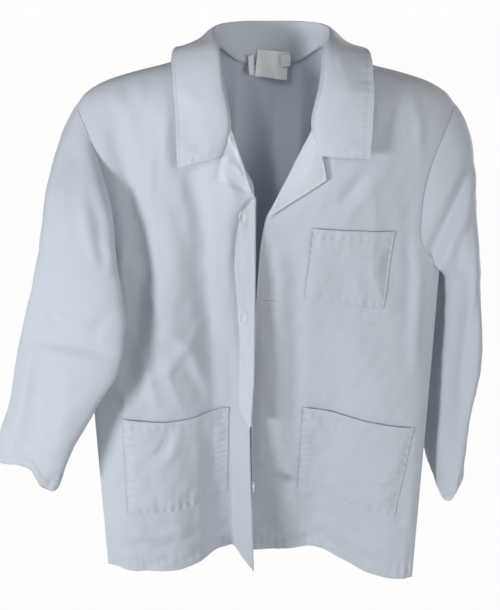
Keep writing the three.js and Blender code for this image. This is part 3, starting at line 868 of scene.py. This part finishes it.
def build_lapels():
    corners = {
        "left": [(58, -62), (70, -104), (75, -127), (4, -176)],
        "right": [(-45, -60), (-57, -106), (-62, -128), (-18, -146)],
    }
    folds = {
        "left": [([(60, -80), (50, -110), (40, -140)], 1.2, 7)],
        "right": [
            ([(-46, -72), (-36, -80), (-26, -92)], 3.0, 5),
            ([(-50, -92), (-40, -90), (-28, -100)], -2.2, 5),
            ([(-46, -104), (-34, -112), (-24, -124)], 2.2, 5),
            ([(-54, -118), (-42, -126), (-30, -138)], -1.6, 5),
        ],
    }
    for side in ("left", "right"):
        grid, edge = lapel(side, corners[side], folds[side])
        leaf, n = cloth_sheet(f"{side}_lapel_cloth", grid, FACING, thick=1.2, flip=side == "left")
        top, brk = (np.array([corners[side][k][0], 0.0, corners[side][k][1]]) for k in (0, 3))
        run = unit(top - brk)
        out = np.array([run[2], 0.0, -run[0]]) * SIGN[side]
        nodes = f"{side}_lapel", f"{side}_lapel_facing"
        blend_about(leaf, f"{side}_lapel_fold", brk - out, brk + out * 9, *nodes)
        cols = np.linspace(3, grid.shape[1] - 3, 120)
        width = edge[0, cols.astype(int)] + PI * LAPEL_ROLL / 2
        rows = leaf_rows(grid.shape[0], 1 - 5 / np.maximum(width, 12))
        stitch_on(f"{side}_lapel_stitching", grid, facing_front(n, 20, 40), rows, cols, 0.6)


build_lapels()


BUTTON_Z = [float(node_points(f"button_{i}")[:, 2].mean()) for i in (1, 2, 3, 4)]
BUTTON_PITCH = BUTTON_Z[0] - BUTTON_Z[1]
HOLE_X, HOLE_LEVELS = 6.0, [-155.0 - BUTTON_PITCH * k for k in (1, 2, 3)]  # the buttonholes in sight
SEWN_X = -29.0  # where the buttons' threads come through the strip
STRIP_WIDTH = outline([
    (-500, 1.5), (-488, 9), (-474, 16), (-455, 18.5), (-400, 19), (-340, 20), (-305, 22), (-270, 24.5),
    (-237, 26), (-205, 24), (-184, 20), (-170, 18), (-160, 10), (-150, 2),
])


def build_strip():
    low, high = node_box("right_front_edge")
    z = np.linspace(low[2] + 2, high[2] + 2, 200)
    width = STRIP_WIDTH(z)
    roll = np.stack([EDGE["right"](z) + 0.5, z], -1)
    out = np.stack([-np.ones_like(z), np.zeros_like(z)], -1)
    grid, flat = folded_leaf(roll, out, width, STRIP_ROLL, "right", columns=36)
    x, zz = grid[..., 0], grid[..., 2]
    edge = width[None, :] - flat
    raised = seam_pucker(zz, edge - 4, 14, 6, 0.3) + 0.4 * crumple(x * 2, zz)
    for mark in BUTTON_Z[:3]:
        spot = np.hypot((x - SEWN_X) * 1.6, (zz - mark) * 0.8)
        raised = raised - 1.4 * dent(spot, 4) + 0.9 * dent(spot - 7, 3)
    grid[..., 1] -= raised * smooth(flat / 8)
    strip, n = cloth_sheet("right_edge_cloth", grid, FACING, thick=1.2)
    y_top, y_low = (front_y(-18.0, level, "right") for level in (-160.0, -480.0))
    start = np.array([0, y_top - 0.6, -160.0])
    across = unit(np.array([0, -1.0, (y_top - y_low) / 320.0]))
    end = start + across * 6.2
    blend_about(strip, "right_edge_fold", start, end, "right_front_edge", "right_front_facing")
    front = facing_front(n, 30, 90)
    cols = np.linspace(4, grid.shape[1] - 5, 200)
    total = np.interp(cols, np.arange(200), width) + PI * STRIP_ROLL / 2
    stitch_on("right_edge_stitching", grid, front, leaf_rows(grid.shape[0], 1 - 3.5 / total), cols, 0.6)
    return grid, front


STRIP_GRID, STRIP_NORMAL = build_strip()


# ---- left front: facing, buttonholes ----
def build_left_facing():
    u, v = grid_axes(24, 220)
    z = mix(HEM_Z + 3, -190, v)
    x = mix(EDGE["left"](z) + 0.8, EDGE["left"](z) + 46, u)
    y = front_y(x, z, "left") + 1.5 + 0.3 * np.sin(z / 23.0)
    facing, _ = cloth_sheet("left_front_facing_cloth", grid_of(x, y, z), FACING)
    bend_left_edge(facing, "left_front_facing")


def on_left_front(x, z, out=0.0):
    """Points on the outer face of the left front, lifted off it by out."""
    return np.stack([x, front_y(x, z, "left") - CLOTH / 2 - out, z], -1)


def build_left_edge_stitching():
    z = np.linspace(HEM_Z + 2, -178, 400)
    stitch("left_edge_stitching", on_left_front(EDGE["left"](z) + 6, z), np.tile(FORWARD, (len(z), 1)))


def build_buttonholes():
    """Worked buttonholes: a dark slit of painted shade between two beds of close satin stitches."""
    around = np.linspace(0, 2 * PI, 96, endpoint=False)
    verts, faces, slits = [], [], []
    for k, level in enumerate(HOLE_LEVELS):
        for reach, height, wobble in ((0.15, -0.2, 0), (0.7, 0.75, 0.12), (1.4, 0.7, 0.12), (1.9, 0.0, 0)):
            reach_z = reach + wobble * np.sign(np.sin(around * 48))
            x = HOLE_X + np.cos(around) * (9.0 + reach * 0.8)
            dz = np.sign(np.sin(around)) * np.abs(np.sin(around)) ** 0.35 * reach_z
            verts.append(on_left_front(x, level + dz, height))
        faces += ring_faces(4, 96, 4 * 96 * k)
        # Each slit is a dark sheet of painted shade down the middle of its buttonhole.
        x = HOLE_X + np.array([-8.6, 8.6, 8.6, -8.6])
        slits.append(on_left_front(x, level + np.array([-0.3, -0.3, 0.3, 0.3]), 0.5))
    slit_faces = [tuple(range(4 * k, 4 * k + 4)) for k in range(3)]
    bend_left_edge(finish_mesh("buttonhole_slit_shade", slits, slit_faces, (PAINTED_HOLE_SHADE, "thread")))
    bend_left_edge(finish_mesh("buttonhole_stitching", verts, faces, THREAD))


build_left_facing()
build_left_edge_stitching()
build_buttonholes()


# ---- pockets ----
def pocket(name, side, hem, puff, folds, sag=0.0):
    """A patch pocket on the front: folded and stitched at its edges, hemmed and a little open at the top."""
    tl, tr, br, bl = (corner(name, sx, sz) for sx, sz in ((-1, 1), (1, 1), (1, -1), (-1, -1)))
    u, v = grid_axes(110, 120)
    x, z = (mix(mix(bl[k], br[k], u), mix(tl[k], tr[k], u), v) for k in (0, 1))
    z = z - sag * np.sin(PI * u) * v ** 3
    wide, tall = np.linalg.norm(tr - tl), np.linalg.norm(tl - bl)
    from_side, from_low, from_top = np.minimum(u, 1 - u) * wide, v * tall, (1 - v) * tall
    edge = np.minimum(from_side, from_low)
    along = np.where(from_side < from_low, from_low, u * wide)
    body = smooth(edge / 16) * puff * (0.55 + 0.45 * np.sin(PI * v) + 0.2 * v ** 3)
    raised = 1.3 + body - 0.45 * dent(edge - 2.5, 1.1)
    raised = raised + seam_pucker(along + wide, edge - 2.5, 13, 12, 1.4) * smooth(edge / 3)
    band = 0.6 * smooth((hem + 1 - from_top) / 2) - 0.6 * dent(from_top - hem, 1.3)
    raised = raised + band + seam_pucker(u * wide, from_top - hem, 12, 7, 0.7) + ridges(x, z, folds)
    raised = np.maximum(raised + 0.35 * crumple(x + 190, z * 1.3) * smooth(edge / 12), 1.0)
    grid = np.stack([x, front_y(x, z, side) - raised, z], -1)
    cloth, n = cloth_sheet(f"{name}_cloth", grid, POPLIN, thick=1.0)
    n = facing_front(n, 50, 60)
    put_on(cloth, "torso", name)
    last_row, last_column, inset = grid.shape[0] - 1, grid.shape[1] - 1, 2.6
    r0, r1 = inset / wide * last_row, (1 - inset / wide) * last_row
    c0, c1 = inset / tall * last_column, (1 - 1.5 / tall) * last_column
    path_r = np.concatenate([np.full(90, r0), np.linspace(r0, r1, 90), np.full(90, r1)])
    path_c = np.concatenate([np.linspace(c1, c0, 90), np.full(90, c0), np.linspace(c0, c1, 90)])
    stitch_on("torso_stitching", grid, n, path_r, path_c, 0.5)
    stitch_on("torso_stitching", grid, n, np.linspace(r0, r1, 90), (1 - hem / tall) * last_column, 0.5)


pocket("chest_pocket", "left", 12, 1.6, [
    ([(70, -230), (100, -222), (130, -240)], 1.0, 9), ([(150, -230), (140, -260), (120, -280)], 1.2, 8),
])
pocket("left_hip_pocket", "left", 13, 2.0, [
    ([(66, -496), (84, -520), (98, -548)], 2.2, 7), ([(60, -530), (82, -560), (100, -590)], -1.6, 8),
    ([(196, -590), (180, -600), (168, -602)], 1.6, 5), ([(198, -620), (182, -630), (166, -632)], 1.8, 5),
    ([(80, -640), (90, -610), (84, -585)], 1.4, 8), ([(120, -650), (130, -600), (120, -560)], 1.2, 16),
])
pocket("right_hip_pocket", "right", 13, 2.2, [
    ([(-136, -510), (-146, -540), (-170, -562)], -3.2, 8),
    ([(-120, -520), (-134, -552), (-160, -578)], 2.4, 9),
    ([(-200, -520), (-184, -526), (-172, -524)], 1.4, 5),
    ([(-204, -590), (-186, -596), (-170, -590)], 1.4, 6),
    ([(-74, -640), (-90, -628), (-104, -630)], 1.6, 6), ([(-140, -650), (-120, -620), (-90, -600)], 1.4, 9),
], sag=6.0)


def build_stitched_box():
    """A small stitched outline on the left front, just below the chest pocket's outer corner."""
    corners = [(129, -313), (131, -335), (157, -337), (158, -314)]
    sides = [np.linspace(a, b, 20) for a, b in zip(corners, corners[1:])]
    x, z = np.concatenate(sides).T
    stitch("torso_stitching", on_left_front(x, z), np.tile(FORWARD, (len(x), 1)), pitch=2.8, length=2.3)


build_stitched_box()


# ---- buttons ----
BUTTON_RADIUS, BUTTON_THICK, HOLE_OFFSET, HOLE_RADIUS = 8.5, 2.4, 1.9, 0.85
BUTTON_PROFILE = [  # shares of the radius and thickness, from the face's middle round to the back's
    (0, 0.55), (0.55, 0.55), (0.66, 0.62), (0.78, 0.95), (0.9, 1), (0.98, 0.82), (1, 0.5), (0.96, 0.15),
    (0.8, 0), (0, 0),
]


def circle(centre, a, b, radius, count):
    t = np.linspace(0, 2 * PI, count, endpoint=False)
    return centre + np.outer(np.cos(t), a) * radius + np.outer(np.sin(t), b) * radius


def build_button(number):
    """A four-hole button with a raised rim, sewn on by a wrapped shank and two crossing threads."""
    name, owner = f"button_{number}", "torso" if number == 4 else "right_edge_fold"
    centre, shank = middle_of(name), middle_of(f"button_thread_{number}")
    face = unit(centre - shank)
    side = np.cross(UP, face)

    def at_face(x, z, out):
        return centre + side * x + UP * z + face * out

    rings = [circle(at_face(0, 0, (out - 0.5) * BUTTON_THICK), side, UP, max(r * BUTTON_RADIUS, 0.02), 64)
             for r, out in BUTTON_PROFILE]
    body = finish_mesh(f"{name}_moulding", rings, ring_faces(len(rings), 64, flip=True), BUTTON)
    put_on(body, owner, name)

    verts, faces = [], []

    def cord(path, radius):
        faces.extend(ring_faces(len(path), 8, 8 * len(verts)))
        for point, along in zip(path, unit(np.gradient(np.array(path), axis=0))):
            a = unit(np.cross(along, face + 0.01))
            verts.append(circle(point, a, np.cross(along, a), radius, 8))

    corners = [(sx * HOLE_OFFSET, sz * HOLE_OFFSET) for sx in (-1, 1) for sz in (-1, 1)]
    for (x0, z0), (x1, z1) in ((corners[0], corners[3]), (corners[1], corners[2])):
        cord([at_face(mix(x0, x1, t), mix(z0, z1, t), 0.05 * BUTTON_THICK + 0.6 * math.sin(PI * t))
              for t in np.linspace(0, 1, 10)], 0.45)
    turns, foot = np.linspace(0, 8 * 2 * PI, 150), shank - face * 0.9
    cord([foot + face * 2.2 * a / turns[-1] + side * math.cos(a) + UP * math.sin(a) for a in turns], 0.3)
    put_on(finish_mesh(f"{name}_thread", verts, faces, THREAD), owner, f"button_thread_{number}")

    # The dark discs in the four holes are painted shade.
    holes = [circle(at_face(x, z, 0.06 * BUTTON_THICK), side, UP, HOLE_RADIUS, 16) for x, z in corners]
    hole_faces = [tuple(range(16 * k, 16 * k + 16)) for k in range(4)]
    put_on(finish_mesh(f"{name}_holes", holes, hole_faces, (PAINTED_HOLE_SHADE, "button")), owner)


for number in (1, 2, 3, 4):
    build_button(number)


# Corners of one bar of thread: four pairs along its foot, then the two ends of its ridge
BAR_FACES = [
    (0, 2, 8), (1, 8, 3), (0, 8, 1), (2, 4, 9, 8), (3, 8, 9, 5), (4, 6, 9), (5, 9, 7), (6, 7, 9),
]


def build_thread_marks():
    """Where each hidden button is sewn through, its thread shows on the strip's face."""
    verts, faces = [], []
    rows, cols = STRIP_GRID.shape[:2]
    for mark in BUTTON_Z[:3]:
        col = np.interp(mark, STRIP_GRID[0, :, 2], np.arange(cols))
        row = np.interp(-SEWN_X, -STRIP_GRID[:, int(col), 0], np.arange(rows))
        row = rows - 5 if row > rows - 4 else row
        (p,), _ = along_grid(STRIP_GRID, STRIP_NORMAL, np.array([row]), np.array([col]), 0.75)
        for k in range(7):
            dz = (k - 3) * 0.75
            half = 2.0 - 0.15 * (k % 2)
            foot = [(sx * half, -0.1, dz + sz * 0.32) for sx in (-1, -0.5, 0.5, 1) for sz in (-1, 1)]
            top = [(sx * half, -0.55, dz) for sx in (-0.5, 0.5)]
            faces += [tuple(10 * len(verts) + i for i in corners) for corners in BAR_FACES]
            verts.append(p + np.array(foot + top))
    put_on(finish_mesh("sewn_thread_marks", verts, faces, THREAD), "right_edge_fold")


build_thread_marks()


# ---- labels and shoulder seam allowances ----
LABEL_RISE = 10.0  # mm from the CAD label's middle up to the tape's
LABEL_HALF_WIDTH, LABEL_HEIGHT, LABEL_TILT = 20.0, 33.0, 0.10


def build_label():
    """A woven tape that curls at its foot, with a folded end beside it."""
    x0, _, z0 = middle_of("neck_label")
    u, v = grid_axes(50, 40, low=-1)
    x = x0 + u * LABEL_HALF_WIDTH + LABEL_TILT * (v - 0.5) * LABEL_HEIGHT
    z = z0 + LABEL_RISE + LABEL_HEIGHT * (v - 0.5) - LABEL_TILT * u * LABEL_HALF_WIDTH
    curl = 4.0 * (1 - v) ** 2 * (0.4 + 0.6 * u) + 1.2 * np.sin(u * 4 + v * 3)
    grid = grid_of(x, 36.5 - 3.0 * (1 - v) - 1.3 * curl, z)
    label, n = cloth_sheet("neck_label_tape", grid, LABEL, thick=0.5)
    put_on(label, "torso", "neck_label")
    for column in (1.5, 37.5):
        stitch_on("torso_stitching", grid, facing_front(n, 25, 20), np.linspace(1, 48, 40), column, 0.3,
                  radius=0.25, pitch=2.2, length=1.6)
    u, v = grid_axes(30, 40)
    x = x0 + 17 + 6 * np.sin(u * PI * 1.4)
    y = 34.0 - 4.0 * u - 1.5 * np.sin(u * PI)
    end, _ = cloth_sheet("neck_label_fold", grid_of(x, y, z0 + LABEL_RISE + 12 - 14 * v), LABEL, thick=0.5)
    put_on(end, "torso")


def build_size_tab():
    x0, _, z0 = middle_of("size_tab")
    around = np.linspace(0, 1, 46)[:, None]
    x = x0 + 3.0 * np.linspace(-1, 1, 8)[None, :] + 1.0 * np.sin(around * 5)
    y = 36.0 - 5.5 * around - 1.5 * np.sin(around * PI)
    z = z0 + 16 - 25 * np.sin(around * PI)
    tab, _ = cloth_sheet("size_tab_tape", grid_of(x, y, z), LABEL, thick=0.45)
    put_on(tab, "torso", "size_tab")


def build_neck_seam():
    """The pressed seam allowance inside the back neck, following the neck seam."""
    t, across = np.linspace(-1, 1, 60)[:, None], np.linspace(-1, 1, 12)[None, :]
    y = 39.5 - 2.0 * t ** 2 + 3.6 * across
    z = -4.4 + 1.2 * t ** 2 - 0.5 * across ** 2 + 0.2 * np.sin(t * 19) * across
    seam, _ = cloth_sheet("back_neck_allowance", grid_of(24.0 * t, y, z), FACING, thick=0.9)
    put_on(seam, "torso", "back_neck_seam")


def build_shoulder_seams():
    t, across = np.linspace(0, 1, 80)[:, None], np.linspace(-1, 1, 16)[None, :]
    for side in ("left", "right"):
        x = SIGN[side] * mix(78, 222, t)
        z = shoulder_z(x) - 1.6 - 1.6 * across ** 2 - 0.4 * np.sin(t * 60) * across ** 2
        grid = grid_of(x, across * 7.0, z)
        seam, _ = cloth_sheet(f"{side}_shoulder_allowance", grid, FACING, thick=0.9, flip=side == "left")
        put_on(seam, "torso", f"{side}_shoulder_seam")


build_label()
build_size_tab()
build_shoulder_seams()
build_neck_seam()

STITCHES_ON = {
    "torso_stitching": "torso", "right_edge_stitching": "right_edge_fold",
    "left_lapel_stitching": "left_lapel_fold", "right_lapel_stitching": "right_lapel_fold",
    "left_sleeve_stitching": "left_arm", "right_sleeve_stitching": "right_arm",
}
for group in sorted(stitch_runs):
    if group in STITCHES_ON:
        put_on(build_stitches(group), STITCHES_ON[group])
    else:
        bend_left_edge(build_stitches(group))


# ---- stage ----
AMBIENT, AMBIENT_ABOVE = 0.48, 0.02  # light from all round; the backdrop itself is seen as plain white
FLOOR_SIZE, FLOOR_LEVEL = 12.0, -1.45
LENS_SHARE = 820.0 / 610.0  # focal length over the picture's height
CAMERA_PITCH = 26.0  # degrees below level
CAMERA_PLACE = (-0.020, -1.031, 0.179)


def build_stage():
    floor = bpy.data.meshes.new("floor")
    corners = [(x * FLOOR_SIZE, y * FLOOR_SIZE, FLOOR_LEVEL) for x, y in ((-1, -1), (1, -1), (1, 1), (-1, 1))]
    floor.from_pydata(corners, [], [(0, 1, 2, 3)])
    material, tree = new_material("pale_floor")
    matt = node(tree, "BsdfDiffuse", {"Color": (0.6, 0.6, 0.6, 1)}).outputs[0]
    paper = node(tree, "Emission", {"Color": (1, 1, 1, 1), "Strength": 0.985}).outputs[0]
    seen = node(tree, "LightPath").outputs["Is Camera Ray"]
    surface = node(tree, "MixShader", {0: seen, 1: matt, 2: paper}).outputs[0]
    tree.links.new(surface, node(tree, "OutputMaterial").inputs[0])
    floor.materials.append(material)
    obj = bpy.data.objects.new("floor", floor)
    bpy.context.scene.collection.objects.link(obj)

    world = bpy.data.worlds.new("studio")
    bpy.context.scene.world = world
    world.use_nodes = True
    tree = world.node_tree
    seen = node(tree, "LightPath").outputs["Is Camera Ray"]
    backdrop = tree.nodes["Background"]
    backdrop.inputs["Color"].default_value = (1, 1, 1, 1)
    direction = node(tree, "TexCoord").outputs["Generated"]
    height = node(tree, "SeparateXYZ", {0: direction}).outputs[2]
    steep = node(tree, "Math", {0: height}, operation="ABSOLUTE").outputs[0]
    around = ranged(tree, steep, AMBIENT, AMBIENT_ABOVE)
    tree.links.new(ranged(tree, seen, around, 1.0), backdrop.inputs["Strength"])

    def place_object(data, place, aim):
        obj = bpy.data.objects.new(data.name, data)
        obj.location = at_frame(place)
        obj.rotation_euler = (Vector(aim) - Vector(place)).to_track_quat("-Z", "Y").to_euler()
        bpy.context.scene.collection.objects.link(obj)

    def lamp(name, place, aim, size, power, colour=(1, 1, 1)):
        data = bpy.data.lights.new(name, "AREA")
        data.size, data.energy, data.color = size, power, colour
        place_object(data, place, aim)

    lamp("key", (-1.5, -1.15, -0.26), (0, 0, -0.33), 0.35, 21.5, (0.95, 0.97, 1.0))
    lamp("fill", (1.35, -1.9, 0.1), (0, 0, -0.3), 1.0, 15.0, (1.0, 0.99, 0.97))
    lamp("back", (1.9, 1.9, 0.2), (0, 0, -0.3), 0.8, 46)
    data = bpy.data.lights.new("neck", "SPOT")
    data.energy, data.shadow_soft_size, data.spot_size, data.spot_blend = 36, 0.12, math.radians(8.4), 0.9
    place_object(data, (-0.62, -1.25, 0.62), (0.015, 0.04, -0.11))
    bpy.context.scene.view_settings.view_transform = "Standard"

    camera_data = bpy.data.cameras.new("camera")
    camera_data.sensor_width = 36.0
    camera_data.lens = LENS_SHARE * camera_data.sensor_width
    camera = bpy.data.objects.new("camera", camera_data)
    camera.location = at_frame(CAMERA_PLACE)
    camera.rotation_euler = (math.radians(90 - CAMERA_PITCH), 0, 0)
    bpy.context.scene.collection.objects.link(camera)
    bpy.context.scene.camera = camera


build_stage()
